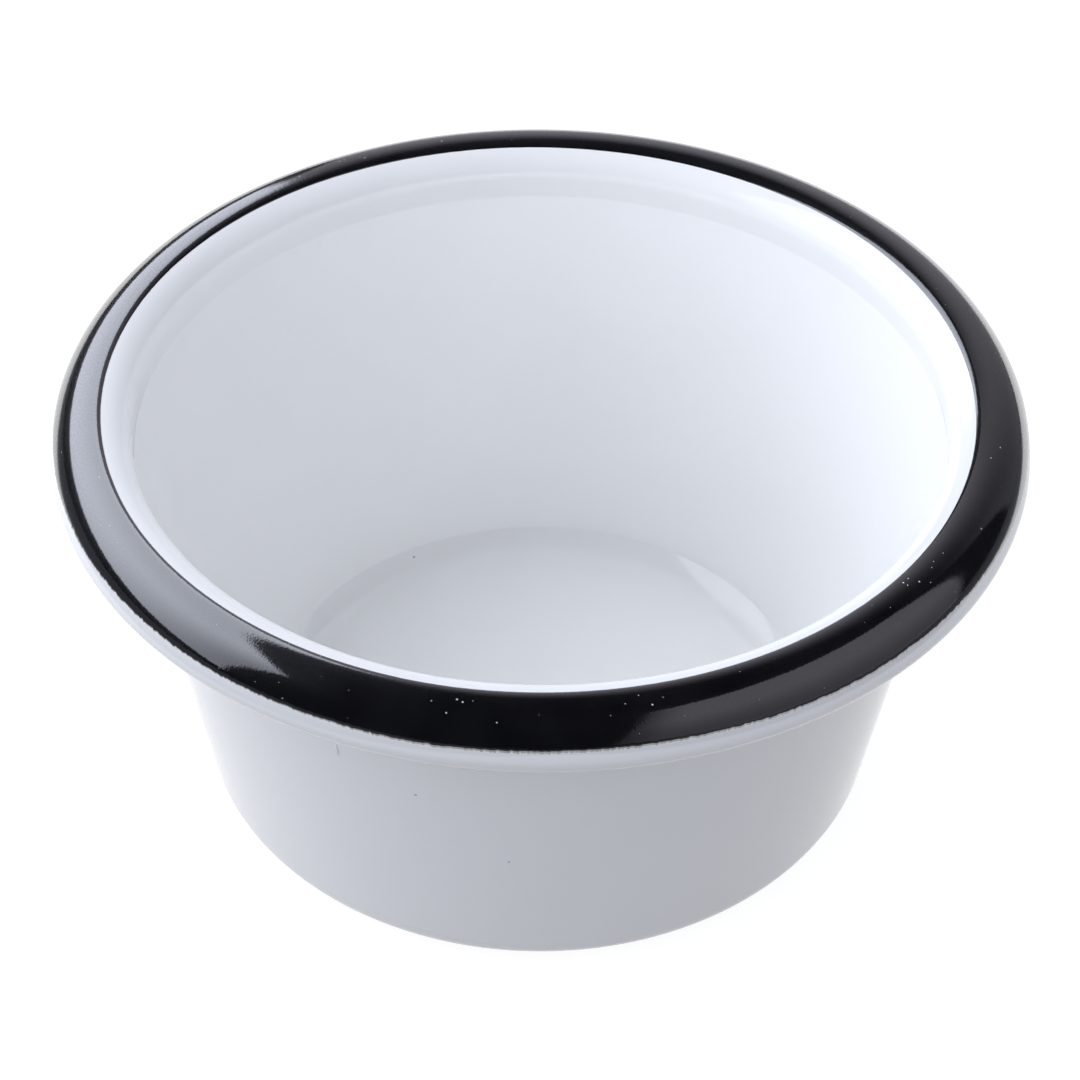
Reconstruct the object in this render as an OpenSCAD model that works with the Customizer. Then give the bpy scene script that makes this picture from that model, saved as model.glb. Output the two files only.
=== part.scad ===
// Enamelled steel ramekin: a drawn steel bowl with a hollow curled rim, in fired enamel coats.
// All sizes are in millimetres. The bowl stands on z = 0 and its axis is the Z axis.

/* [Overall size] */

// Widest diameter, over the white enamel of the curled rim
rim_diameter = 80; // [72:0.5:96]

// Full height from the table to the top of the black band
height = 37.9; // [30:0.1:50]

/* [Bowl] */

// Diameter of the flat that the bowl stands on
base_diameter = 51.8; // [42:0.5:58]

// Rounding between the flat base and the outside wall
base_corner_radius = 3.3; // [2.5:0.1:5]

// Depth below the top at which the leaning wall meets the upright collar of the rim
collar_depth = 4.5; // [4:0.1:6]

// How much further in the flat floor inside ends than the flat base outside
floor_inset = 5.2; // [4.6:0.1:6]

// Rounding of the floor's edge, where it curves up to the inside wall
floor_edge_radius = 5.2; // [4:0.1:6]

// Slope of the floor's edge, in degrees, where it meets the inside wall in a crease
floor_edge_angle = 38; // [25:1:50]

/* [Curled rim] */

// Rounding of the lip, where the collar turns over into the crown
lip_radius = 2.45; // [2.2:0.05:2.9]

// Rounding of the crown, over the top of the rim
crown_radius = 3.3; // [3:0.05:3.8]

// Rounding of the sloping outer flank
flank_radius = 4; // [3.8:0.1:5]

// Rounding of the outermost roll, down to the underside
roll_radius = 1.8; // [1.5:0.05:2.2]

// Rounding of the underside, where the curl tucks back to the wall
tuck_radius = 6.5; // [6:0.1:8]

// Direction of the surface, in degrees, where the lip turns into the crown
lip_angle = 135; // [125:1:145]

// Direction of the surface, in degrees, where the crown turns into the flank
flank_angle = 51; // [40:1:60]

// Direction of the surface, in degrees, where the flank turns into the roll
roll_angle = 8; // [4:1:15]

/* [Sheet and coats] */

// Thickness of the steel in the floor, the collar and the curled rim
steel_thickness = 0.5; // [0.4:0.05:0.7]

// Thickness of the dark ground coat on each face of the steel
ground_thickness = 0.08; // [0.05:0.01:0.12]

// Thickness of the white cover coat on each face
white_thickness = 0.2; // [0.12:0.01:0.3]

/* [Black band] */

// Thickness of the black enamel on top of the white
band_thickness = 0.06; // [0.03:0.01:0.1]

// Width of the band seen from above, from the widest point of the rim in to its crisp edge
band_width = 4.58; // [3.9:0.02:5.4]

// Direction of the surface, in degrees, at the band's lower edge on the flank
band_lower_angle = 20; // [12:1:38]

/* [Hidden] */

// Largest angle between two points on a curve of the section, and sides of a turned piece
arc_step = 6;
turn_sides = 180;

// Depths of the coats in the rim, measured from the white surface inside the bowl
white_inside_depth = 0;
ground_inside_depth = white_thickness;
steel_inside_depth = ground_inside_depth + ground_thickness;
steel_outside_depth = steel_inside_depth + steel_thickness;

// Coats that lie over a surface on the outside of the bowl, and all layers together at the collar
white_cover = 0;
ground_cover = white_thickness;
steel_cover = ground_cover + ground_thickness;
collar_thickness = steel_outside_depth + steel_cover;

// Centres of the rim's arcs, from the crown outward and from the crown inward
crown_centre = [
    rim_diameter / 2 - roll_radius
        - (flank_radius - roll_radius) * cos(roll_angle)
        + (flank_radius - crown_radius) * cos(flank_angle),
    height - band_thickness - crown_radius
];
flank_centre = step_centre(crown_centre, crown_radius, flank_radius, flank_angle);
roll_centre = step_centre(flank_centre, flank_radius, roll_radius, roll_angle);
tuck_centre = step_centre(roll_centre, roll_radius, tuck_radius, -90);
lip_centre = step_centre(crown_centre, crown_radius, lip_radius, lip_angle);

// The upright collar under the lip, and the creases where the two faces of the wall reach it
collar_radius = lip_centre.x - lip_radius;
inside_crease = [collar_radius, height - collar_depth];
outside_crease = [collar_radius + collar_thickness, height - collar_depth];

// Inside face: the floor's curved edge, and a wall from the end of that edge to the crease
edge_centre = [base_diameter / 2 - floor_inset, collar_thickness + floor_edge_radius];
edge_end = edge_centre + floor_edge_radius * [sin(floor_edge_angle), -cos(floor_edge_angle)];
inside_lean = atan2(inside_crease.x - edge_end.x, inside_crease.y - edge_end.y);
inside_normal = [cos(inside_lean), -sin(inside_lean)];
inside_reach = (edge_end - edge_centre) * inside_normal;

// Outside face: the base corner, and a wall from the crease that just touches this corner
corner_centre = [base_diameter / 2, base_corner_radius];
crease_offset = outside_crease - corner_centre;
outside_lean = acos(base_corner_radius / norm(crease_offset)) - atan2(crease_offset.y, crease_offset.x);
outside_normal = [cos(outside_lean), -sin(outside_lean)];

// The outside coats run up the wall to a stop inside the curl, where the lip begins
coat_stop_height = lip_centre.y;

// Direction of the surface at the band's inner edge
band_inner_angle = acos((rim_diameter / 2 - band_width - crown_centre.x) / crown_radius);

// Centre of the next arc in a chain, for two arcs that touch in the given direction
function step_centre(centre, radius, next_radius, angle) =
    centre + (radius - next_radius) * [cos(angle), sin(angle)];

// Points along an arc, without its first point
function arc_points(centre, radius, from, to) =
    let (steps = max(2, ceil(abs(to - from) / arc_step)))
    [for (k = [1 : steps])
        let (angle = from + (to - from) * k / steps)
        centre + radius * [cos(angle), sin(angle)]];

// The same points in the opposite order
function backward(points) =
    [for (k = [len(points) - 1 : -1 : 0]) points[k]];

// Point at a radius on the straight line that lies at a distance along a normal
function line_point(normal, distance, radius) =
    [radius, (radius * normal.x - distance) / -normal.y];

// The inside face from the axis to the crease, at a depth below the white surface
function inside_points(depth) =
    let (end_angle = -inside_lean - acos((inside_reach + depth) / (floor_edge_radius + depth)))
    concat(
        [[0, collar_thickness - depth], [edge_centre.x, collar_thickness - depth]],
        arc_points(edge_centre, floor_edge_radius + depth, -90, end_angle),
        [line_point(inside_normal, edge_centre * inside_normal + inside_reach + depth, collar_radius + depth)]
    );

// The outside face from the axis to the crease, under the given cover of coats
function outside_points(cover) =
    concat(
        [[0, cover], [corner_centre.x, cover]],
        arc_points(corner_centre, base_corner_radius - cover, -90, -outside_lean),
        [line_point(
            outside_normal,
            corner_centre * outside_normal + base_corner_radius - cover,
            outside_crease.x - cover
        )]
    );

// The outside face, carried up the collar to the stop inside the curl
function stopped_points(cover) =
    concat(outside_points(cover), [[outside_crease.x - cover, coat_stop_height]]);

// The part of the crown and the flank that the black band covers
function band_points(depth) =
    concat(
        arc_points(crown_centre, crown_radius - depth, band_inner_angle, flank_angle),
        arc_points(flank_centre, flank_radius - depth, flank_angle, band_lower_angle)
    );

// Direction of the tuck's surface where it reaches the white outside of the collar
function tuck_end_angle(depth) =
    -acos((outside_crease.x - tuck_centre.x) / (tuck_radius - depth));

// The rim's section from the collar over the crown to the end of the curl
function rim_points(depth) =
    concat(
        [lip_centre - [lip_radius - depth, 0]],
        arc_points(lip_centre, lip_radius - depth, 180, lip_angle),
        arc_points(crown_centre, crown_radius - depth, lip_angle, band_inner_angle),
        band_points(depth),
        arc_points(flank_centre, flank_radius - depth, band_lower_angle, roll_angle),
        arc_points(roll_centre, roll_radius - depth, roll_angle, -90),
        arc_points(tuck_centre, tuck_radius - depth, -90, tuck_end_angle(depth))
    );

// Turns the strip between two lines of the section around the axis
module turned_strip(inner_line, outer_line) {
    rotate_extrude($fn = turn_sides)
        polygon(concat(inner_line, backward(outer_line)));
}

// Pressed steel bowl, thicker toward the foot, whose edge curls outward into a hollow rim
module steel_bowl() {
    color([0.55, 0.56, 0.58])
        turned_strip(
            concat(inside_points(steel_inside_depth), rim_points(steel_inside_depth)),
            concat(outside_points(steel_cover), rim_points(steel_outside_depth))
        );
}

// Dark first coat on the inside, carried over the rim to the end of the curl
module ground_coat_inside() {
    color([0.08, 0.10, 0.22])
        turned_strip(
            concat(inside_points(ground_inside_depth), rim_points(ground_inside_depth)),
            concat(inside_points(steel_inside_depth), rim_points(steel_inside_depth))
        );
}

// Dark first coat under the base and up the outside wall
module ground_coat_outside() {
    color([0.08, 0.10, 0.22])
        turned_strip(stopped_points(steel_cover), stopped_points(ground_cover));
}

// White cover coat on the inside and over the rim
module white_coat_inside() {
    color([0.93, 0.94, 0.96])
        turned_strip(
            concat(inside_points(white_inside_depth), rim_points(white_inside_depth)),
            concat(inside_points(ground_inside_depth), rim_points(ground_inside_depth))
        );
}

// White cover coat under the base and up the outside wall
module white_coat_outside() {
    color([0.93, 0.94, 0.96])
        turned_strip(stopped_points(ground_cover), stopped_points(white_cover));
}

// Black enamel laid over the white on the crown and the outer flank
module black_rim_band() {
    band_start = [cos(band_inner_angle), sin(band_inner_angle)];
    color([0.03, 0.03, 0.035])
        turned_strip(
            concat(
                [crown_centre + (crown_radius + band_thickness) * band_start],
                band_points(-band_thickness)
            ),
            concat([crown_centre + crown_radius * band_start], band_points(white_inside_depth))
        );
}

steel_bowl();
ground_coat_inside();
ground_coat_outside();
white_coat_inside();
white_coat_outside();
black_rim_band();
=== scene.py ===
# %% [markdown]
# # An enamelled steel ramekin
# The object is a small bowl of pressed steel, thin at the top and thicker toward the foot,
# with its edge rolled outward into a fat rim.
# Glass enamel is fired onto it in coats: a dark one first, then white, then a black band over the rim.
# This lesson loads the solid model, dresses the coats that show, and builds a small photo studio.

import math
import random

import bmesh
import bpy
from mathutils import Matrix, Vector, noise


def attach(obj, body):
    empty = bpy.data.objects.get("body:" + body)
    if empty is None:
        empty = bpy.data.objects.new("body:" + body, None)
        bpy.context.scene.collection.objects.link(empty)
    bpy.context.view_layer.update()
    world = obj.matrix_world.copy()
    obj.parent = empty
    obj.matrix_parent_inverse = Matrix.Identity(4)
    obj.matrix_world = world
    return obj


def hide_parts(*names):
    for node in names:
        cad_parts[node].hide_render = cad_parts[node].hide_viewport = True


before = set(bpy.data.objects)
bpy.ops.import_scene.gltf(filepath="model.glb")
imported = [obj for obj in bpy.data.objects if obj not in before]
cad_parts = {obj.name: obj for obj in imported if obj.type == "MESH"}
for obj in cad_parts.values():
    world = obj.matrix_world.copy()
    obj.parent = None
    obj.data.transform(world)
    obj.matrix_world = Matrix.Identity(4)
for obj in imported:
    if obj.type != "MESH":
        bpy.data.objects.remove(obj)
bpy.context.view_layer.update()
print("nodes:", sorted(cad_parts))

# %% [markdown]
# ## The section of the bowl
# A turned object is fully described by half of its cut face, drawn from the axis to the rim.
# That line could be drawn by hand with a curve, but a press tool is made of arcs and straight runs,
# so it is written as numbers in millimetres and each arc simply touches the next one.

# %% Sizes of the bowl, in millimetres
MM = 0.001
# The solid is 80 mm wide, but its round has flat sides; this radius keeps the rounder mesh in its box
RIM_RADIUS = 39.985
HEIGHT = 37.9
BASE_RADIUS = 25.9
BASE_CORNER = 3.3
COLLAR_DEPTH = 4.5
FLOOR_INSET = 5.2
FLOOR_EDGE_RADIUS = 5.2
FLOOR_EDGE_ANGLE = 38.0

LIP_RADIUS = 2.45
CROWN_RADIUS = 3.3
FLANK_RADIUS = 4.0
ROLL_RADIUS = 1.8
TUCK_RADIUS = 6.5
LIP_ANGLE = 135.0
FLANK_ANGLE = 51.0
ROLL_ANGLE = 8.0

STEEL = 0.5
GROUND = 0.08
WHITE = 0.2
BAND = 0.06

BAND_WIDTH = 4.58
BAND_LOWER_ANGLE = 20.0

COLLAR_THICKNESS = STEEL + 2 * GROUND + 2 * WHITE
print("thickness at the collar over all coats:", round(COLLAR_THICKNESS, 3), "mm")


# %% Points along arcs and straight runs
# Steps along arcs in degrees, and along straight runs in millimetres
ARC_STEP = 4.0
CORNER_STEP = 2.0
LINE_STEP = 1.0
COLLAR_STEP = 0.4
BEND_REACH = 0.1
BEND_STEPS = 6
SAME_POINT = 1e-4


def direction(degrees):
    """Unit vector in the section, where 0 points away from the axis and 90 points up."""
    return Vector((math.cos(math.radians(degrees)), math.sin(math.radians(degrees))))


def arc_run(centre, radius, start, end, step=ARC_STEP):
    """Points of an arc, from one surface direction to another."""
    count = max(2, math.ceil(abs(end - start) / step))
    return [centre + radius * direction(start + (end - start) * k / count) for k in range(count + 1)]


def straight_run(start, end, step=LINE_STEP):
    """Points along a line, close enough together to keep the shading even."""
    count = max(1, math.ceil((end - start).length / step))
    return [start.lerp(end, k / count) for k in range(count + 1)]


def soft_bend(before, corner, after):
    """A short curve in place of a corner, because fired enamel never shows a sharp one."""
    start = corner + (before - corner).normalized() * BEND_REACH
    end = corner + (after - corner).normalized() * BEND_REACH
    shares = [k / BEND_STEPS for k in range(BEND_STEPS + 1)]
    return [start.lerp(corner, share).lerp(corner.lerp(end, share), share) for share in shares]


def join_runs(*runs):
    """One line from several, without the points that meet."""
    points = []
    for run in runs:
        for point in run:
            if not points or (point - points[-1]).length > SAME_POINT:
                points.append(point)
    return points


def touching_centre(centre, radius, next_radius, angle):
    """Centre of the next arc, which touches this one in the given direction."""
    return centre + (radius - next_radius) * direction(angle)


# %% Centres of the arcs
roll_to_flank = (FLANK_RADIUS - ROLL_RADIUS) * direction(ROLL_ANGLE).x
flank_to_crown = (FLANK_RADIUS - CROWN_RADIUS) * direction(FLANK_ANGLE).x
crown_across = RIM_RADIUS - ROLL_RADIUS - roll_to_flank + flank_to_crown
crown_centre = Vector((crown_across, HEIGHT - BAND - CROWN_RADIUS))
flank_centre = touching_centre(crown_centre, CROWN_RADIUS, FLANK_RADIUS, FLANK_ANGLE)
roll_centre = touching_centre(flank_centre, FLANK_RADIUS, ROLL_RADIUS, ROLL_ANGLE)
tuck_centre = touching_centre(roll_centre, ROLL_RADIUS, TUCK_RADIUS, -90)
lip_centre = touching_centre(crown_centre, CROWN_RADIUS, LIP_RADIUS, LIP_ANGLE)
edge_centre = Vector((BASE_RADIUS - FLOOR_INSET, COLLAR_THICKNESS + FLOOR_EDGE_RADIUS))
corner_centre = Vector((BASE_RADIUS, BASE_CORNER))
collar_radius = lip_centre.x - LIP_RADIUS
print("collar radius:", round(collar_radius, 3), "mm; flat floor to radius", round(edge_centre.x, 2), "mm")


# %% Lines of the section at a depth below a face
def face_line(floor, corner, radius, normal, reach, collar):
    """Floor, round corner, leaning wall and upright collar, from the axis to the foot of the lip."""
    end_angle = math.degrees(math.atan2(normal.y, normal.x) - math.acos(min(1.0, reach / radius)))
    corner_run = arc_run(corner, radius, -90, end_angle, CORNER_STEP)
    foot = corner_run[-1]
    wall_distance = corner.dot(normal) + reach
    crease = Vector((collar, (collar * normal.x - wall_distance) / -normal.y))
    lip_foot = Vector((collar, lip_centre.y))
    foot_bend = soft_bend(corner_run[-2], foot, crease)
    crease_bend = soft_bend(foot, crease, lip_foot)
    return join_runs(
        straight_run(Vector((0, floor)), Vector((corner.x, floor))),
        corner_run[:-1],
        foot_bend,
        straight_run(foot_bend[-1], crease_bend[0]),
        crease_bend,
        straight_run(crease_bend[-1], lip_foot, COLLAR_STEP),
    )


def inside_line(depth):
    """The inside face, moved into the metal; its floor curves up and meets the wall in a crease."""
    end = edge_centre + FLOOR_EDGE_RADIUS * direction(FLOOR_EDGE_ANGLE - 90)
    to_crease = Vector((collar_radius, HEIGHT - COLLAR_DEPTH)) - end
    normal = Vector((to_crease.y, -to_crease.x)).normalized()
    reach = (end - edge_centre).dot(normal)
    floor = COLLAR_THICKNESS - depth
    radius = FLOOR_EDGE_RADIUS + depth
    return face_line(floor, edge_centre, radius, normal, reach + depth, collar_radius + depth)


def outside_line(cover):
    """The outside face, moved into the metal; its wall just touches the base corner."""
    collar = collar_radius + COLLAR_THICKNESS
    to_crease = Vector((collar, HEIGHT - COLLAR_DEPTH)) - corner_centre
    lean = math.acos(BASE_CORNER / to_crease.length) - math.atan2(to_crease.y, to_crease.x)
    radius = BASE_CORNER - cover
    return face_line(cover, corner_centre, radius, direction(-math.degrees(lean)), radius, collar - cover)


def rim_line(depth):
    """Lip, crown, flank, roll and tucked underside, to the end of the curl."""
    reach = (collar_radius + COLLAR_THICKNESS - tuck_centre.x) / (TUCK_RADIUS - depth)
    return join_runs(
        arc_run(lip_centre, LIP_RADIUS - depth, 180, LIP_ANGLE),
        arc_run(crown_centre, CROWN_RADIUS - depth, LIP_ANGLE, FLANK_ANGLE),
        arc_run(flank_centre, FLANK_RADIUS - depth, FLANK_ANGLE, ROLL_ANGLE),
        arc_run(roll_centre, ROLL_RADIUS - depth, ROLL_ANGLE, -90),
        arc_run(tuck_centre, TUCK_RADIUS - depth, -90, -math.degrees(math.acos(reach))),
    )


for face_name, line in (("inside", inside_line(0)), ("outside", outside_line(0)), ("rim", rim_line(0))):
    print(face_name, "line:", len(line), "points")

# %% [markdown]
# ## Turning a section into a mesh
# Blender's Screw or Spin tools could turn the line, but a small mesh builder gives closed, even rings
# and one single point at the axis, so the floor shades without a pinch.


# %% A turned mesh from a closed section
ON_AXIS = 1e-6
# Faces that meet at more than this angle, in degrees, keep a sharp edge
TURNED_SHARP = 50


def join_rings(bm, here, there):
    """Faces between two rings; a ring of one point is the axis."""
    count = max(len(here), len(there))
    for k in range(count):
        corners = [here[k % len(here)], here[(k + 1) % len(here)]]
        corners += [there[(k + 1) % len(there)], there[k % len(there)]]
        unique = list(dict.fromkeys(corners))
        if len(unique) > 2:
            bm.faces.new(unique)


def make_piece(name, bm, sharp_angle):
    """A smooth-shaded object from a finished mesh."""
    bmesh.ops.recalc_face_normals(bm, faces=bm.faces)
    mesh = bpy.data.meshes.new(name)
    bm.to_mesh(mesh)
    bm.free()
    mesh.shade_smooth()
    mesh.set_sharp_from_angle(angle=math.radians(sharp_angle))
    piece = bpy.data.objects.new(name, mesh)
    bpy.context.collection.objects.link(piece)
    print(name + ":", len(mesh.vertices), "points,", len(mesh.polygons), "faces")
    return piece


def turned_piece(name, section, sides):
    """Turns a closed section, given in millimetres, around the upright axis."""
    bm = bmesh.new()
    turns = [2 * math.pi * k / sides for k in range(sides)]
    rings = []
    for point in section:
        if point.x < ON_AXIS:
            rings.append([bm.verts.new((0, 0, point.y * MM))])
            continue
        radius = point.x * MM
        ring = [bm.verts.new((radius * math.cos(a), radius * math.sin(a), point.y * MM)) for a in turns]
        rings.append(ring)
    for k, ring in enumerate(rings):
        join_rings(bm, ring, rings[(k + 1) % len(rings)])
    return make_piece(name, bm, TURNED_SHARP)


# %% [markdown]
# ## The white coats
# The white coat inside runs over the rim to the end of the curl; the one outside covers wall and base.
# Each is a thin closed shell between two lines of the section, so it has the real thickness of enamel.

# %% White coat inside and over the rim
TURN_SIDES = 240

cover_line = join_runs(inside_line(0), rim_line(0))
ground_line = join_runs(inside_line(WHITE), rim_line(WHITE))
white_inside = turned_piece("white_enamel_inside", cover_line + ground_line[::-1], TURN_SIDES)
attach(white_inside, "root")
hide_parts("white_coat_inside")

# %% White coat outside and under the base
outside_shell = outside_line(0) + outside_line(WHITE)[::-1]
white_outside = turned_piece("white_enamel_outside", outside_shell, TURN_SIDES)
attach(white_outside, "root")
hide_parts("white_coat_outside")

# %% [markdown]
# ## The black band
# The band is painted on with a turning sponge before the last firing, so its edge on top is crisp,
# while the lower edge breaks up into tiny teeth where the wet glaze crept over the white.
# A texture could draw that edge, but a real edge has thickness and catches light,
# so the band is a mesh whose lower rows follow a noise around the rim.


# %% Walk along the rim's surface
rim_arcs = [
    (crown_centre, CROWN_RADIUS, LIP_ANGLE, FLANK_ANGLE),
    (flank_centre, FLANK_RADIUS, FLANK_ANGLE, ROLL_ANGLE),
    (roll_centre, ROLL_RADIUS, ROLL_ANGLE, -90),
]


def rim_surface(distance):
    """Point and outward direction on the rim, a distance in millimetres down from the lip."""
    for centre, radius, start, end in rim_arcs:
        length = radius * math.radians(start - end)
        if distance <= length:
            facing = direction(start - math.degrees(distance / radius))
            return centre + radius * facing, facing
        distance -= length
    return centre + radius * direction(end), direction(end)


band_inner_angle = math.degrees(math.acos((RIM_RADIUS - BAND_WIDTH - crown_centre.x) / CROWN_RADIUS))
band_top = CROWN_RADIUS * math.radians(LIP_ANGLE - band_inner_angle)
crown_length = CROWN_RADIUS * math.radians(LIP_ANGLE - FLANK_ANGLE)
band_bottom = crown_length + FLANK_RADIUS * math.radians(FLANK_ANGLE - BAND_LOWER_ANGLE)
print("band runs from", round(band_top, 2), "to", round(band_bottom, 2), "mm below the lip")


# %% The band's wandering edges
EDGE_SHIFT_RIGHT = 0.22
EDGE_SHIFT_BACK = 0.44
EDGE_SHIFT_OUT = 0.06
# Waves of an edge: height in millimetres, how quickly it changes around the rim, and which noise it takes
LOWER_WAVES = [(0.10, 2.2, 0.0), (0.05, 22.0, 5.0), (0.07, 90.0, 4.0), (0.11, 260.0, 9.0)]
UPPER_WAVES = [(0.03, 3.0, 2.0), (0.012, 40.0, 7.0)]


def around(turn, waves):
    """Waves of noise that close up after a full turn."""
    total = 0.0
    for height, detail, layer in waves:
        total += height * noise.noise(Vector((math.cos(turn) * detail, math.sin(turn) * detail, layer)))
    return total


def lower_edge(turn):
    """Distance of the ragged edge, from slow drift and two sizes of tooth."""
    return band_bottom + around(turn, LOWER_WAVES)


def upper_edge(turn):
    """Distance of the crisp edge, which is painted a little off centre and drifts a little."""
    widening = EDGE_SHIFT_RIGHT * math.cos(turn) + EDGE_SHIFT_BACK * math.sin(turn) - EDGE_SHIFT_OUT
    return band_top - widening + around(turn, UPPER_WAVES)


for side_name, azimuth in (("right", 0), ("back", 90), ("left", 180), ("front", 270)):
    turn = math.radians(azimuth)
    print("band at the", side_name + ":", round(lower_edge(turn) - upper_edge(turn), 2), "mm along the rim")


# %% The band as a mesh
BAND_SIDES = 2880
BAND_ROWS = 16
# A little thinner than in the solid, so that the rounder mesh stays in its box
BAND_SEEN = 0.055
BAND_SINK = 0.02
EDGE_SHARE = 0.05
BAND_SHARP = 60


def band_thickness(share):
    """Full in the middle, and drawn down to nothing at both edges."""
    edge = min(share, 1 - share) / EDGE_SHARE
    return BAND_SEEN * math.sqrt(max(0.0, 1 - (1 - min(1.0, edge)) ** 2))


def row_share(row):
    """Rows lie closer together near the two edges."""
    return 0.5 - 0.5 * math.cos(math.pi * row / BAND_ROWS)


band_mesh = bmesh.new()
top_rings = [[] for row in range(BAND_ROWS + 1)]
under_rings = [[] for row in range(BAND_ROWS + 1)]
for k in range(BAND_SIDES):
    turn = 2 * math.pi * k / BAND_SIDES
    first = upper_edge(turn)
    last = lower_edge(turn)
    for row in range(BAND_ROWS + 1):
        share = row_share(row)
        point, facing = rim_surface(first + (last - first) * share)
        for rings, height in ((top_rings, band_thickness(share)), (under_rings, -BAND_SINK)):
            place = (point + facing * height) * MM
            corner = band_mesh.verts.new((place.x * math.cos(turn), place.x * math.sin(turn), place.y))
            rings[row].append(corner)
band_rings = top_rings + under_rings[::-1]
for k, ring in enumerate(band_rings):
    join_rings(band_mesh, ring, band_rings[(k + 1) % len(band_rings)])
black_band = make_piece("black_enamel_band", band_mesh, BAND_SHARP)
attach(black_band, "root")
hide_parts("black_rim_band")

# %% [markdown]
# ## Pinholes, specks and a drip
# Gas that escapes in the kiln leaves pinholes, where white shows through the black,
# and a few grains of the dark ground coat rise into the white. A texture could draw them as dots.
# Tiny low domes catch the light as real marks do: the larger ones stand where the bowl has them,
# and a seeded random scatters the finest. One dome, drawn out long, is a drip of the white coat.


# %% Small round marks on a surface
MARK_SIDES = 8
# Rings of a mark from its sunk rim upward: share of the radius, share of the height
MARK_LEVELS = [(1.0, -0.4), (0.8, 0.55), (0.45, 0.9)]
MARK_SHARP = 80


def add_mark(bm, place, facing, radius, height, stretch=1.0):
    """A low dome, its rim sunk a little; the stretch draws it out up and down the wall."""
    side = Vector((0, 0, 1)).cross(facing).normalized()
    across = facing.cross(side) * stretch
    rings = []
    for share, rise in MARK_LEVELS:
        ring = []
        for k in range(MARK_SIDES):
            turn = 2 * math.pi * k / MARK_SIDES
            offset = radius * share * (side * math.cos(turn) + across * math.sin(turn))
            ring.append(bm.verts.new((place + offset + facing * (rise * height)) * MM))
        rings.append(ring)
    rings.append([bm.verts.new((place + facing * height) * MM)])
    for here, there in zip(rings, rings[1:]):
        join_rings(bm, here, there)
    bm.faces.new(rings[0][::-1])


def turned_place(point, facing, azimuth):
    """A place and direction in space, from the section and an angle around the axis."""
    turn = math.radians(azimuth)
    place = Vector((point.x * math.cos(turn), point.x * math.sin(turn), point.y))
    return place, Vector((facing.x * math.cos(turn), facing.x * math.sin(turn), facing.y))


# %% Pinholes in the band
DOME_HEIGHT = 0.003
FINE_PINHOLES = 70
FINE_RADII = (0.014, 0.030)
FINE_MARGIN = 0.5
PINHOLE_SEED = 7
# Radius, then places: angle around the axis, and the direction that the rim's surface faces there
PINHOLE_GROUPS = [
    (0.065, [(319.5, 92), (321, 78), (260.8, 77), (261.5, 74), (282.7, 66)]),
    (0.050, [(320.5, 92), (319.5, 85), (334, 60), (349, 74), (346.5, 84), (259.9, 57), (265.5, 51)]),
    (0.038, [(325, 84), (324, 80), (327, 82), (322, 67), (279.7, 72), (281.4, 82), (258, 70)]),
    (0.042, [(241.5, 28), (199, 85), (191, 41), (126, 86), (119.5, 83), (116, 92), (104.5, 88)]),
]


def crown_distance(angle):
    """Distance down from the lip at which the rim's surface faces the given direction."""
    if angle >= FLANK_ANGLE:
        return CROWN_RADIUS * math.radians(LIP_ANGLE - angle)
    return crown_length + FLANK_RADIUS * math.radians(FLANK_ANGLE - angle)


def add_pinhole(azimuth, distance, radius):
    """One pinhole on the band's surface."""
    point, facing = rim_surface(distance)
    place, outward = turned_place(point + facing * BAND_SEEN, facing, azimuth)
    add_mark(pinhole_mesh, place, outward, radius, DOME_HEIGHT)


pinhole_mesh = bmesh.new()
for radius, places in PINHOLE_GROUPS:
    for azimuth, angle in places:
        add_pinhole(azimuth, crown_distance(angle), radius)
pinhole_random = random.Random(PINHOLE_SEED)
for k in range(FINE_PINHOLES):
    azimuth = pinhole_random.uniform(0, 360)
    distance = pinhole_random.uniform(band_top + FINE_MARGIN, band_bottom - FINE_MARGIN)
    add_pinhole(azimuth, distance, pinhole_random.uniform(*FINE_RADII))
pinholes = make_piece("band_pinholes", pinhole_mesh, MARK_SHARP)
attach(pinholes, "root")


# %% Dark specks in the white
# Angle around the axis, height and radius
SPECKS_INSIDE = [(120.5, 1.69, 0.13), (135.9, 26.8, 0.07), (126.5, 32.9, 0.07)]
SPECKS_OUTSIDE = [(253.1, 22.1, 0.12), (265.9, 14.7, 0.10)]
TOWARD_AXIS = 1
FROM_AXIS = -1


def line_place(line, height, side):
    """Point where a line of the section passes a height, and the direction that its face looks there."""
    for low, high in zip(line, line[1:]):
        if low.y <= height < high.y:
            run = (high - low).normalized()
            point = low.lerp(high, (height - low.y) / (high.y - low.y))
            return point, Vector((-run.y, run.x)) * side


speck_faces = [
    (inside_line(0), TOWARD_AXIS, SPECKS_INSIDE),
    (outside_line(0), FROM_AXIS, SPECKS_OUTSIDE),
]
speck_mesh = bmesh.new()
for line, side, specks in speck_faces:
    for azimuth, height, radius in specks:
        point, facing = line_place(line, height, side)
        place, outward = turned_place(point, facing, azimuth)
        add_mark(speck_mesh, place, outward, radius, DOME_HEIGHT)
white_specks = make_piece("white_specks", speck_mesh, MARK_SHARP)
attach(white_specks, "root")

# %% A drip in the white, on the left under the rim
DRIP_AZIMUTH = 241.9
DRIP_HEIGHT = 24.95
DRIP_RADIUS = 0.16
DRIP_RISE = 0.12
DRIP_STRETCH = 5.0

drip_mesh = bmesh.new()
point, facing = line_place(outside_line(0), DRIP_HEIGHT, FROM_AXIS)
place, outward = turned_place(point, facing, DRIP_AZIMUTH)
add_mark(drip_mesh, place, outward, DRIP_RADIUS, DRIP_RISE, DRIP_STRETCH)
white_drip = make_piece("white_drip", drip_mesh, MARK_SHARP)
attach(white_drip, "root")

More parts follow.
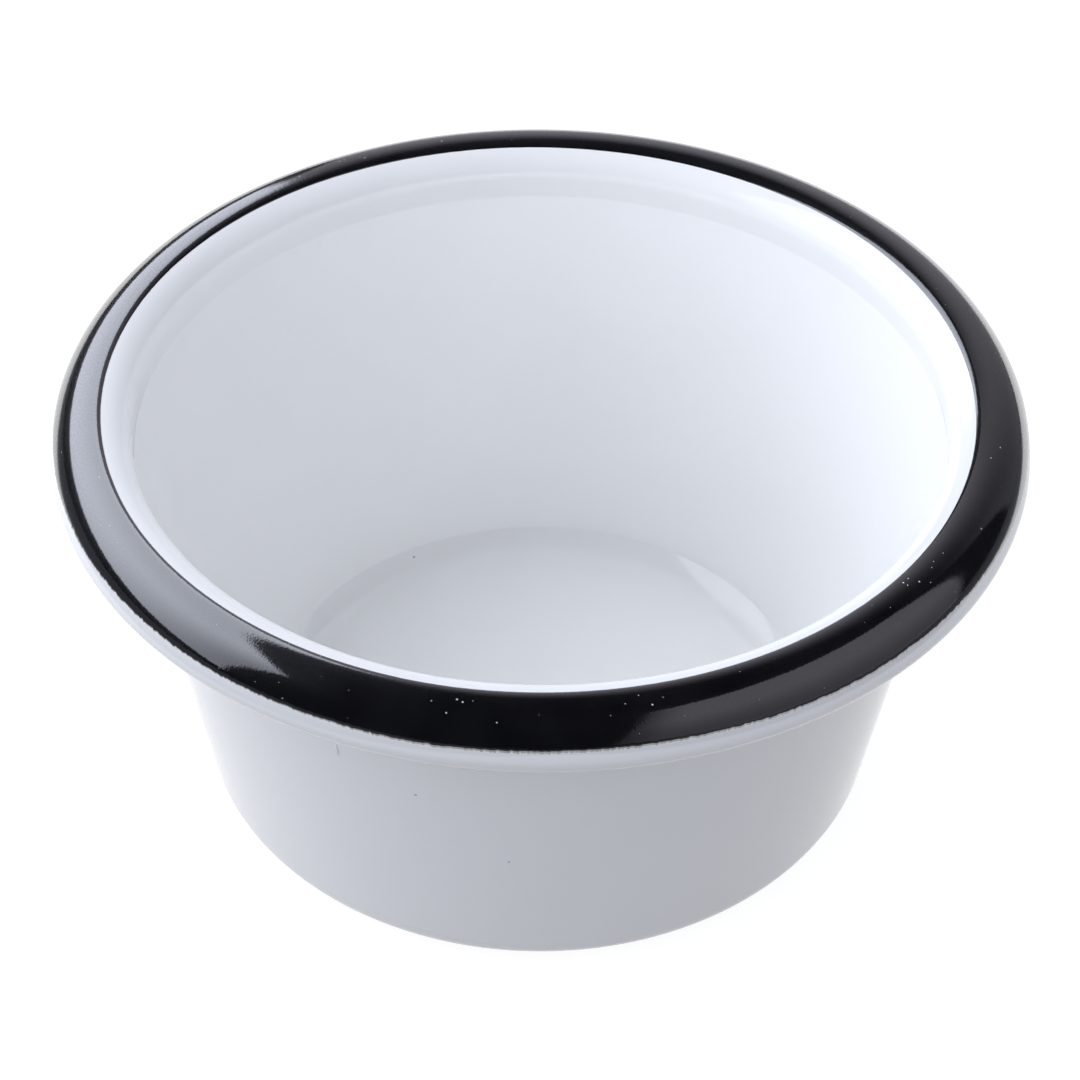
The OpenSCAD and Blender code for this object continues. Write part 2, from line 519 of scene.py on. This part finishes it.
# %% [markdown]
# ## Finishes
# Enamel is glass: the colour lies under a glossy skin that is never quite flat.
# The soft waves, cloudy tone and uneven polish are the same for every colour of enamel,
# so they are made once as a node group and placed in each material with its own values.


# %% Helpers for shader nodes
def add_node(tree, kind, **settings):
    """A node with some of its settings made."""
    made = tree.nodes.new(kind)
    for key, value in settings.items():
        setattr(made, key, value)
    return made


def set_inputs(made, values):
    """Sets the plain values of a node's sockets."""
    for name, value in values.items():
        made.inputs[name].default_value = value


def new_material(name, values):
    """A material with one Principled shader, whose constant values sit on its own sockets."""
    material = bpy.data.materials.new(name)
    material.use_nodes = True
    shader = material.node_tree.nodes["Principled BSDF"]
    set_inputs(shader, values)
    return material, material.node_tree, shader


# %% The fired skin, shared by all enamels
SKIN_START = {"Wave Size": 300.0, "Peel Size": 2200.0, "Cloud Size": 90.0, "Peel Share": 0.3}


def fired_skin_group():
    """Waves for a bump, a cloudy tone and an uneven polish, in the object's own space."""
    group = bpy.data.node_groups.new("Fired Skin", "ShaderNodeTree")
    face = group.interface
    for name, value in SKIN_START.items():
        socket = face.new_socket(name=name, in_out="INPUT", socket_type="NodeSocketFloat")
        socket.default_value = value
    for name in ("Waves", "Cloud", "Polish"):
        face.new_socket(name=name, in_out="OUTPUT", socket_type="NodeSocketFloat")
    given = add_node(group, "NodeGroupInput")
    result = add_node(group, "NodeGroupOutput")
    place = add_node(group, "ShaderNodeTexCoord")
    wave = add_node(group, "ShaderNodeTexNoise")
    set_inputs(wave, {"Detail": 1.0})
    peel = add_node(group, "ShaderNodeTexNoise")
    set_inputs(peel, {"Detail": 2.0, "Roughness": 0.6})
    cloud = add_node(group, "ShaderNodeTexNoise")
    set_inputs(cloud, {"Detail": 4.0, "Roughness": 0.55})
    blend = add_node(group, "ShaderNodeMix", data_type="FLOAT")
    for made, size in ((wave, "Wave Size"), (peel, "Peel Size"), (cloud, "Cloud Size")):
        group.links.new(place.outputs["Object"], made.inputs["Vector"])
        group.links.new(given.outputs[size], made.inputs["Scale"])
    group.links.new(given.outputs["Peel Share"], blend.inputs["Factor"])
    group.links.new(wave.outputs["Fac"], blend.inputs["A"])
    group.links.new(peel.outputs["Fac"], blend.inputs["B"])
    group.links.new(blend.outputs["Result"], result.inputs["Waves"])
    group.links.new(cloud.outputs["Fac"], result.inputs["Cloud"])
    group.links.new(peel.outputs["Fac"], result.inputs["Polish"])
    return group


fired_skin = fired_skin_group()
print("node group:", fired_skin.name, "with", len(fired_skin.nodes), "nodes")


# %% An enamel of any colour
# Most of what a noise gives lies between these two values
NOISE_RANGE = (0.3, 0.7)


def enamel(name, tones, polish, bump, skin, values):
    """Glossy glass over colour: two tones, a range of roughness, a bump and the skin's own sizes."""
    material, tree, shader = new_material(name, values)
    surface = add_node(tree, "ShaderNodeGroup", node_tree=fired_skin)
    set_inputs(surface, skin)
    tone = add_node(tree, "ShaderNodeValToRGB")
    for element, position, colour in zip(tone.color_ramp.elements, NOISE_RANGE, tones):
        element.position = position
        element.color = (*colour, 1.0)
    rough = add_node(tree, "ShaderNodeMapRange")
    set_inputs(rough, {"From Min": NOISE_RANGE[0], "From Max": NOISE_RANGE[1]})
    set_inputs(rough, {"To Min": polish[0], "To Max": polish[1]})
    relief = add_node(tree, "ShaderNodeBump")
    set_inputs(relief, {"Strength": bump[0], "Distance": bump[1]})
    tree.links.new(surface.outputs["Cloud"], tone.inputs["Fac"])
    tree.links.new(tone.outputs["Color"], shader.inputs["Base Color"])
    tree.links.new(surface.outputs["Polish"], rough.inputs["Value"])
    tree.links.new(rough.outputs["Result"], shader.inputs["Roughness"])
    tree.links.new(surface.outputs["Waves"], relief.inputs["Height"])
    for socket in ("Normal", "Coat Normal"):
        tree.links.new(relief.outputs["Normal"], shader.inputs[socket])
    return material


# %% White, black and ground enamel, and the grey of a speck under white
white_enamel = enamel(
    "white_enamel",
    tones=((0.915, 0.913, 0.895), (0.930, 0.928, 0.910)),
    polish=(0.008, 0.022),
    bump=(0.25, 0.00001),
    skin={"Wave Size": 120.0, "Peel Size": 1400.0, "Cloud Size": 70.0, "Peel Share": 0.1},
    values={"IOR": 1.7},
)
black_enamel = enamel(
    "black_enamel",
    tones=((0.004, 0.004, 0.005), (0.009, 0.009, 0.011)),
    polish=(0.22, 0.34),
    bump=(0.8, 0.00001),
    skin={"Wave Size": 500.0, "Peel Size": 6000.0, "Cloud Size": 200.0, "Peel Share": 0.4},
    values={"IOR": 1.5, "Coat Weight": 1.0, "Coat Roughness": 0.012, "Coat IOR": 2.9},
)
ground_enamel = enamel(
    "ground_enamel",
    tones=((0.008, 0.012, 0.045), (0.014, 0.020, 0.070)),
    polish=(0.25, 0.4),
    bump=(0.4, 0.00003),
    skin={"Wave Size": 300.0, "Peel Size": 2500.0, "Cloud Size": 120.0, "Peel Share": 0.4},
    values={"IOR": 1.55},
)
speck_enamel = enamel(
    "speck_enamel",
    tones=((0.34, 0.36, 0.42), (0.50, 0.52, 0.57)),
    polish=(0.05, 0.1),
    bump=(0.25, 0.00002),
    skin={"Wave Size": 120.0, "Peel Size": 1400.0, "Cloud Size": 3000.0, "Peel Share": 0.1},
    values={"IOR": 1.7},
)
for piece in (white_inside, white_outside, pinholes, white_drip):
    piece.data.materials.append(white_enamel)
black_band.data.materials.append(black_enamel)
white_specks.data.materials.append(speck_enamel)
for piece in (white_inside, white_outside, black_band, pinholes, white_specks, white_drip):
    print(piece.name, "takes", piece.active_material.name)

# %% [markdown]
# ## The hidden steel
# Nothing of the metal shows on a sound bowl, but it is there, so the solid model's own pieces stay
# and get a finish: pressed steel with fine lines that run around the axis.


# %% Pressed steel
STEEL_TONES = ((0.34, 0.345, 0.36), (0.56, 0.57, 0.59))
STEEL_SQUEEZE = (60.0, 60.0, 4000.0)


def pressed_steel():
    """Grey metal with fine rings, from a noise that is squeezed along the axis."""
    material, tree, shader = new_material("pressed_steel", {"Metallic": 1.0})
    place = add_node(tree, "ShaderNodeTexCoord")
    squeeze = add_node(tree, "ShaderNodeMapping")
    set_inputs(squeeze, {"Scale": STEEL_SQUEEZE})
    lines = add_node(tree, "ShaderNodeTexNoise")
    set_inputs(lines, {"Scale": 1.0, "Detail": 3.0})
    tone = add_node(tree, "ShaderNodeValToRGB")
    for element, colour in zip(tone.color_ramp.elements, STEEL_TONES):
        element.color = (*colour, 1.0)
    rough = add_node(tree, "ShaderNodeMapRange")
    set_inputs(rough, {"To Min": 0.28, "To Max": 0.45})
    tree.links.new(place.outputs["Object"], squeeze.inputs["Vector"])
    tree.links.new(squeeze.outputs["Vector"], lines.inputs["Vector"])
    tree.links.new(lines.outputs["Fac"], tone.inputs["Fac"])
    tree.links.new(tone.outputs["Color"], shader.inputs["Base Color"])
    tree.links.new(lines.outputs["Fac"], rough.inputs["Value"])
    tree.links.new(rough.outputs["Result"], shader.inputs["Roughness"])
    return material


hidden_finishes = {
    "steel_bowl": pressed_steel(),
    "ground_coat_inside": ground_enamel,
    "ground_coat_outside": ground_enamel,
}
for node_name, finish in hidden_finishes.items():
    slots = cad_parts[node_name].material_slots
    for place in slots:
        place.material = finish
    print(node_name, "takes", finish.name, "in", len(slots), "slot")

# %% [markdown]
# ## The ground
# The photograph has a pure white ground, and the rim's reflections show where that white ends:
# a sheet of card that widens toward the back, on a dark table. A bright lamp would burn out the bowl
# before the ground turned white, so the ground glows a little: all of it for the camera,
# and the card alone for reflections. It still takes the bowl's shadow and sends little light back.

# %% Floor
FLOOR_RADIUS = 3.0
FLOOR_SIDES = 96
# A hair's breadth below the base, so that the two faces never fight
FLOOR_DROP = 0.00005

bpy.ops.mesh.primitive_circle_add(
    vertices=FLOOR_SIDES, radius=FLOOR_RADIUS, fill_type="NGON", location=(0, 0, -FLOOR_DROP),
)
floor = bpy.context.object
floor.name = "floor"
print("floor:", 2 * FLOOR_RADIUS, "m across")

# %% White card on a dark table
# Sideways shift, half the width beside the bowl, and width of the soft edge, in metres
CARD_SHIFT = 0.015
CARD_HALF_WIDTH = 0.100
CARD_EDGE = 0.030
# Metres that each side gains for each metre toward the back
CARD_SPREAD = 0.45
CARD_GLOW = 0.9
CARD_TONE = (0.22, 0.22, 0.22, 1.0)
TABLE_TONE = (0.08, 0.08, 0.09, 1.0)


def card_share(tree):
    """One on the white card and zero on the table around it; the card widens toward the back."""
    place = add_node(tree, "ShaderNodeTexCoord")
    split = add_node(tree, "ShaderNodeSeparateXYZ")
    centred = add_node(tree, "ShaderNodeMath", operation="SUBTRACT")
    centred.inputs[1].default_value = CARD_SHIFT
    sideways = add_node(tree, "ShaderNodeMath", operation="ABSOLUTE")
    spread = add_node(tree, "ShaderNodeMath", operation="MULTIPLY_ADD")
    spread.inputs[1].default_value = -CARD_SPREAD
    share = add_node(tree, "ShaderNodeMapRange", interpolation_type="SMOOTHSTEP")
    edge = (CARD_HALF_WIDTH, CARD_HALF_WIDTH + CARD_EDGE)
    set_inputs(share, {"From Min": edge[0], "From Max": edge[1], "To Min": 1.0, "To Max": 0.0})
    tree.links.new(place.outputs["Object"], split.inputs["Vector"])
    tree.links.new(split.outputs["X"], centred.inputs[0])
    tree.links.new(centred.outputs["Value"], sideways.inputs[0])
    tree.links.new(split.outputs["Y"], spread.inputs[0])
    tree.links.new(sideways.outputs["Value"], spread.inputs[2])
    tree.links.new(spread.outputs["Value"], share.inputs["Value"])
    return share.outputs["Result"]


def floor_finish():
    """Plain white ground for the camera, and a white card on a dark table for reflections."""
    plain_values = {"Roughness": 0.9, "Emission Color": (1.0, 1.0, 1.0, 1.0)}
    material, tree, shader = new_material("card_on_table", plain_values)
    share = card_share(tree)
    tone = add_node(tree, "ShaderNodeMix", data_type="RGBA")
    tone.inputs["A"].default_value = TABLE_TONE
    tone.inputs["B"].default_value = CARD_TONE
    rays = add_node(tree, "ShaderNodeLightPath")
    mirrored = add_node(tree, "ShaderNodeMath", operation="MAXIMUM")
    card_mirrored = add_node(tree, "ShaderNodeMath", operation="MULTIPLY")
    seen = add_node(tree, "ShaderNodeMath", operation="MAXIMUM")
    glow = add_node(tree, "ShaderNodeMath", operation="MULTIPLY")
    glow.inputs[1].default_value = CARD_GLOW
    tree.links.new(share, tone.inputs["Factor"])
    tree.links.new(tone.outputs["Result"], shader.inputs["Base Color"])
    tree.links.new(rays.outputs["Is Glossy Ray"], mirrored.inputs[0])
    tree.links.new(rays.outputs["Is Transmission Ray"], mirrored.inputs[1])
    tree.links.new(mirrored.outputs["Value"], card_mirrored.inputs[0])
    tree.links.new(share, card_mirrored.inputs[1])
    tree.links.new(card_mirrored.outputs["Value"], seen.inputs[0])
    tree.links.new(rays.outputs["Is Camera Ray"], seen.inputs[1])
    tree.links.new(seen.outputs["Value"], glow.inputs[0])
    tree.links.new(glow.outputs["Value"], shader.inputs["Emission Strength"])
    return material


floor.data.materials.append(floor_finish())
print("floor takes", floor.active_material.name)
print("card:", 2 * CARD_HALF_WIDTH, "m wide beside the bowl")

# %% [markdown]
# ## The lights
# The glossy band is a mirror of the studio: a small softbox stands close by on the left,
# a tall pale card on the right and one behind that darkens upward. They could be glowing planes,
# but area lamps give cleaner light. A lamp's brightness in a mirror is its power over its area,
# so each panel states its size, place and brightness, and the power follows.


# %% Panels that fade
def fade_lamp(lamp, fades):
    """Dims a lamp along directions on its face, each from full at one share to a last level at another."""
    lamp.use_nodes = True
    tree = lamp.node_tree
    spot = add_node(tree, "ShaderNodeNewGeometry")
    strength = None
    for along, start, end, last in fades:
        share = add_node(tree, "ShaderNodeVectorMath", operation="DOT_PRODUCT")
        share.inputs[1].default_value = (*along, 0.0)
        level = add_node(tree, "ShaderNodeMapRange", interpolation_type="SMOOTHSTEP")
        set_inputs(level, {"From Min": start, "From Max": end, "To Min": 1.0, "To Max": last})
        tree.links.new(spot.outputs["Parametric"], share.inputs[0])
        tree.links.new(share.outputs["Value"], level.inputs["Value"])
        if strength is None:
            strength = level.outputs["Result"]
            continue
        both = add_node(tree, "ShaderNodeMath", operation="MULTIPLY")
        tree.links.new(strength, both.inputs[0])
        tree.links.new(level.outputs["Result"], both.inputs[1])
        strength = both.outputs["Value"]
    tree.links.new(strength, tree.nodes["Emission"].inputs["Strength"])


def upright_panel(name, azimuth, distance, half_width, bottom, top, tilt, tint, radiance):
    """A flat lamp that stands on end and faces the axis; its power follows from its size and brightness."""
    turn = math.radians(azimuth)
    outward = Vector((math.cos(turn), math.sin(turn), 0.0))
    lamp = bpy.data.lights.new(name, "AREA")
    lamp.shape = "RECTANGLE"
    lamp.size = 2 * half_width
    lamp.size_y = top - bottom
    lamp.color = tint
    lamp.energy = radiance * math.pi * lamp.size * lamp.size_y
    panel = bpy.data.objects.new(name, lamp)
    stand = Matrix.Translation(distance * outward + Vector((0.0, 0.0, (bottom + top) / 2)))
    facing = (-outward).to_track_quat("-Z", "Y").to_matrix().to_4x4()
    panel.matrix_world = stand @ facing @ Matrix.Rotation(math.radians(tilt), 4, "Z")
    bpy.context.collection.objects.link(panel)
    print(name, "at azimuth", azimuth, "with", round(lamp.energy, 2), "W")
    return lamp


# %% Softbox and cards
SOFTBOX_TINT = (0.83, 0.875, 1.0)
CARD_TINT = (0.90, 0.88, 1.0)
# Directions on a panel's face, in shares of its width and height; each fade then gives the share
# where the panel is still full, the share where the fade ends, and the level that is left there
WIDTH = (1.0, 0.0)
UPWARD = (0.0, 1.0)
SLANT = (1.0, 0.24)
FRONT = (1.0, -0.25)

softbox = upright_panel(
    "left_softbox", azimuth=153.5, distance=0.09, half_width=0.138, bottom=0.053, top=0.193,
    tilt=-2.6, tint=SOFTBOX_TINT, radiance=2.15,
)
fade_lamp(softbox, [(FRONT, 0.45, 0.95, 0.33), (SLANT, 0.225, 0.195, 0.0), (UPWARD, -0.25, 0.9, 0.64)])
right_card = upright_panel(
    "right_card", azimuth=334.2, distance=0.647, half_width=0.563, bottom=-0.057, top=1.445,
    tilt=-17, tint=CARD_TINT, radiance=0.265,
)
fade_lamp(right_card, [(WIDTH, 0.2, 0.0, 0.4), (UPWARD, 0.45, 0.05, 0.5)])
back_card = upright_panel(
    "back_card", azimuth=64, distance=0.9, half_width=0.65, bottom=0.02, top=1.3,
    tilt=0, tint=CARD_TINT, radiance=0.44,
)
fade_lamp(back_card, [(WIDTH, 0.85, 0.15, 0.25), (UPWARD, 0.1, 1.0, 0.05)])

# %% [markdown]
# ## The light of the room
# Walls and ceiling fill the shadows with weak light, and a little more of it comes from the low left.
# More lamps could do this, but a sky with a simple slope of brightness is enough.
# Reflections do not see it, so the black band stays black; the camera sees a plain pale backdrop.

# %% Light of the room
# Direction of the brighter side, where the slope starts and ends along it, and the level at both ends
ROOM_SIDE = (-0.72, 0.1, -0.69)
ROOM_SLOPE = (-0.8, 0.3)
ROOM_FAR = 0.52
ROOM_NEAR = 1.4
ROOM_TINT = (0.84, 0.885, 1.0, 1.0)

world = bpy.data.worlds.new("room")
bpy.context.scene.world = world
world.use_nodes = True
room = world.node_tree
background = room.nodes["Background"]
set_inputs(background, {"Color": ROOM_TINT})
looking = add_node(room, "ShaderNodeTexCoord")
toward = add_node(room, "ShaderNodeVectorMath", operation="DOT_PRODUCT")
toward.inputs[1].default_value = ROOM_SIDE
level = add_node(room, "ShaderNodeMapRange")
set_inputs(level, {"From Min": ROOM_SLOPE[0], "From Max": ROOM_SLOPE[1]})
set_inputs(level, {"To Min": ROOM_FAR, "To Max": ROOM_NEAR})
room.links.new(looking.outputs["Generated"], toward.inputs[0])
room.links.new(toward.outputs["Value"], level.inputs["Value"])
rays = add_node(room, "ShaderNodeLightPath")
seen = add_node(room, "ShaderNodeMath", operation="MAXIMUM")
room.links.new(level.outputs["Result"], seen.inputs[0])
room.links.new(rays.outputs["Is Camera Ray"], seen.inputs[1])
room.links.new(seen.outputs["Value"], background.inputs["Strength"])
world.cycles_visibility.glossy = False
print("room light from", ROOM_FAR, "on the far side to", ROOM_NEAR, "on the near side")

# %% [markdown]
# ## The camera
# It stands where the photograph was taken: in front, well above the rim and looking down at the bowl.
# A long lens at a short distance gives the same mild perspective, and the picture is square.

# %% Camera
CAMERA_PLACE = Vector((0.0, -206.46, 200.93)) * MM
LOOK_DOWN = 41.02
CAMERA_ROLL = 0.52
LENS = 107.5
SENSOR_WIDTH = 36.0
NEAREST_SEEN = 0.01

lens_data = bpy.data.cameras.new("photo_camera")
lens_data.lens = LENS
lens_data.sensor_width = SENSOR_WIDTH
lens_data.sensor_fit = "HORIZONTAL"
lens_data.clip_start = NEAREST_SEEN
camera = bpy.data.objects.new("photo_camera", lens_data)
pitch = Matrix.Rotation(math.radians(90 - LOOK_DOWN), 4, "X")
roll = Matrix.Rotation(math.radians(CAMERA_ROLL), 4, "Z")
aim = pitch @ roll
camera.matrix_world = Matrix.Translation(CAMERA_PLACE) @ aim
bpy.context.collection.objects.link(camera)
bpy.context.scene.camera = camera
bpy.context.scene.view_settings.view_transform = "Standard"
print("camera at", [round(v, 4) for v in CAMERA_PLACE], "with a", LENS, "mm lens")

# %% [markdown]
# ## Bringing the scene up to date
# The dressed bowl has to stay as large as the solid model; this last step only brings the scene up to date.

# %% Bring the scene up to date
bpy.context.view_layer.update()
